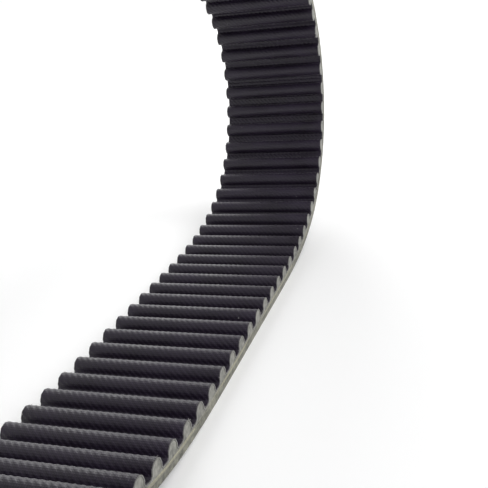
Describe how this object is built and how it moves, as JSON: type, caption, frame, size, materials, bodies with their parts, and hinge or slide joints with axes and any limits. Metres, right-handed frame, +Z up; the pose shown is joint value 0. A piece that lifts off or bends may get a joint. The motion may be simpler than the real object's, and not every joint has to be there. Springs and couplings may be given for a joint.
{
  "type": "timing belt",
  "caption": "Endless black rubber timing belt with round teeth inside, standing as a flattened loop on its back; hinged lengths let the loop flex.",
  "frame": {"origin": "on the supporting surface, under the middle of the bottom run and the middle of the width", "axes": "+X across the belt's width, +Y along the loop's long side towards the far bend, +Z up from the bottom run to the top run"},
  "size_m": [0.015, 0.0892, 0.041],
  "materials": {
    "backing_rubber": "matt, ground back and cut edges",
    "glass_cord": "twisted glass yarn in adhesive",
    "tooth_rubber": "matt, cut at the edges",
    "nylon_facing": "black nylon twill, slightly glossy yarns"
  },
  "bodies": {
    "bottom": {"backing_bottom": "backing_rubber", "cords_bottom": "glass_cord", "teeth_bottom": "tooth_rubber", "facing_bottom": "nylon_facing"},
    "far_1": {"backing_far_1": "backing_rubber", "cords_far_1": "glass_cord", "teeth_far_1": "tooth_rubber", "facing_far_1": "nylon_facing"},
    "far_2": {"backing_far_2": "backing_rubber", "cords_far_2": "glass_cord", "teeth_far_2": "tooth_rubber", "facing_far_2": "nylon_facing"},
    "far_3": {"backing_far_3": "backing_rubber", "cords_far_3": "glass_cord", "teeth_far_3": "tooth_rubber", "facing_far_3": "nylon_facing"},
    "far_4": {"backing_far_4": "backing_rubber", "cords_far_4": "glass_cord", "teeth_far_4": "tooth_rubber", "facing_far_4": "nylon_facing"},
    "far_5": {"backing_far_5": "backing_rubber", "cords_far_5": "glass_cord", "teeth_far_5": "tooth_rubber", "facing_far_5": "nylon_facing"},
    "far_6": {"backing_far_6": "backing_rubber", "cords_far_6": "glass_cord", "teeth_far_6": "tooth_rubber", "facing_far_6": "nylon_facing"},
    "near_1": {"backing_near_1": "backing_rubber", "cords_near_1": "glass_cord", "teeth_near_1": "tooth_rubber", "facing_near_1": "nylon_facing"},
    "near_2": {"backing_near_2": "backing_rubber", "cords_near_2": "glass_cord", "teeth_near_2": "tooth_rubber", "facing_near_2": "nylon_facing"},
    "near_3": {"backing_near_3": "backing_rubber", "cords_near_3": "glass_cord", "teeth_near_3": "tooth_rubber", "facing_near_3": "nylon_facing"},
    "near_4": {"backing_near_4": "backing_rubber", "cords_near_4": "glass_cord", "teeth_near_4": "tooth_rubber", "facing_near_4": "nylon_facing"},
    "near_5": {"backing_near_5": "backing_rubber", "cords_near_5": "glass_cord", "teeth_near_5": "tooth_rubber", "facing_near_5": "nylon_facing"},
    "near_6": {"backing_near_6": "backing_rubber", "cords_near_6": "glass_cord", "teeth_near_6": "tooth_rubber", "facing_near_6": "nylon_facing"}
  },
  "joints": [
    {"name": "far_hinge_1", "type": "hinge", "parent": "bottom", "child": "far_1", "pos_m": [0, 0.009, 0.00075], "axis": [1, 0, 0], "range_deg": [-3, 9], "stiffness_Nm_per_rad": 0.009},
    {"name": "far_hinge_2", "type": "hinge", "parent": "far_1", "child": "far_2", "pos_m": [0, 0.0269, 0.00218], "axis": [1, 0, 0], "range_deg": [-0.75, 2.25], "stiffness_Nm_per_rad": 0.009},
    {"name": "far_hinge_3", "type": "hinge", "parent": "far_2", "child": "far_3", "pos_m": [0, 0.04147, 0.01192], "axis": [1, 0, 0], "range_deg": [-11.25, 3.75], "stiffness_Nm_per_rad": 0.009},
    {"name": "far_hinge_4", "type": "hinge", "parent": "far_3", "child": "far_4", "pos_m": [0, 0.04147, 0.02904], "axis": [1, 0, 0], "range_deg": [-11.25, 3.75], "stiffness_Nm_per_rad": 0.009},
    {"name": "far_hinge_5", "type": "hinge", "parent": "far_4", "child": "far_5", "pos_m": [0, 0.0269, 0.03877], "axis": [1, 0, 0], "range_deg": [-0.75, 2.25], "stiffness_Nm_per_rad": 0.009},
    {"name": "far_hinge_6", "type": "hinge", "parent": "far_5", "child": "far_6", "pos_m": [0, 0.009, 0.04021], "axis": [1, 0, 0], "range_deg": [-3, 9], "stiffness_Nm_per_rad": 0.009},
    {"name": "near_hinge_1", "type": "hinge", "parent": "bottom", "child": "near_1", "pos_m": [0, -0.009, 0.00075], "axis": [-1, 0, 0], "range_deg": [-3, 9], "stiffness_Nm_per_rad": 0.009},
    {"name": "near_hinge_2", "type": "hinge", "parent": "near_1", "child": "near_2", "pos_m": [0, -0.0269, 0.00218], "axis": [-1, 0, 0], "range_deg": [-0.75, 2.25], "stiffness_Nm_per_rad": 0.009},
    {"name": "near_hinge_3", "type": "hinge", "parent": "near_2", "child": "near_3", "pos_m": [0, -0.04147, 0.01192], "axis": [-1, 0, 0], "range_deg": [-11.25, 3.75], "stiffness_Nm_per_rad": 0.009},
    {"name": "near_hinge_4", "type": "hinge", "parent": "near_3", "child": "near_4", "pos_m": [0, -0.04147, 0.02904], "axis": [-1, 0, 0], "range_deg": [-11.25, 3.75], "stiffness_Nm_per_rad": 0.009},
    {"name": "near_hinge_5", "type": "hinge", "parent": "near_4", "child": "near_5", "pos_m": [0, -0.0269, 0.03877], "axis": [-1, 0, 0], "range_deg": [-0.75, 2.25], "stiffness_Nm_per_rad": 0.009},
    {"name": "near_hinge_6", "type": "hinge", "parent": "near_5", "child": "near_6", "pos_m": [0, -0.009, 0.04021], "axis": [-1, 0, 0], "range_deg": [-3, 9], "stiffness_Nm_per_rad": 0.009}
  ],
  "couplings": [
    {"joint": "far_hinge_2", "follows": "far_hinge_1", "ratio": 0.25},
    {"joint": "far_hinge_3", "follows": "far_hinge_1", "ratio": -1.25},
    {"joint": "far_hinge_4", "follows": "far_hinge_1", "ratio": -1.25},
    {"joint": "far_hinge_5", "follows": "far_hinge_1", "ratio": 0.25},
    {"joint": "far_hinge_6", "follows": "far_hinge_1", "ratio": 1},
    {"joint": "near_hinge_1", "follows": "far_hinge_1", "ratio": 1},
    {"joint": "near_hinge_2", "follows": "far_hinge_1", "ratio": 0.25},
    {"joint": "near_hinge_3", "follows": "far_hinge_1", "ratio": -1.25},
    {"joint": "near_hinge_4", "follows": "far_hinge_1", "ratio": -1.25},
    {"joint": "near_hinge_5", "follows": "far_hinge_1", "ratio": 0.25},
    {"joint": "near_hinge_6", "follows": "far_hinge_1", "ratio": 1}
  ]
}
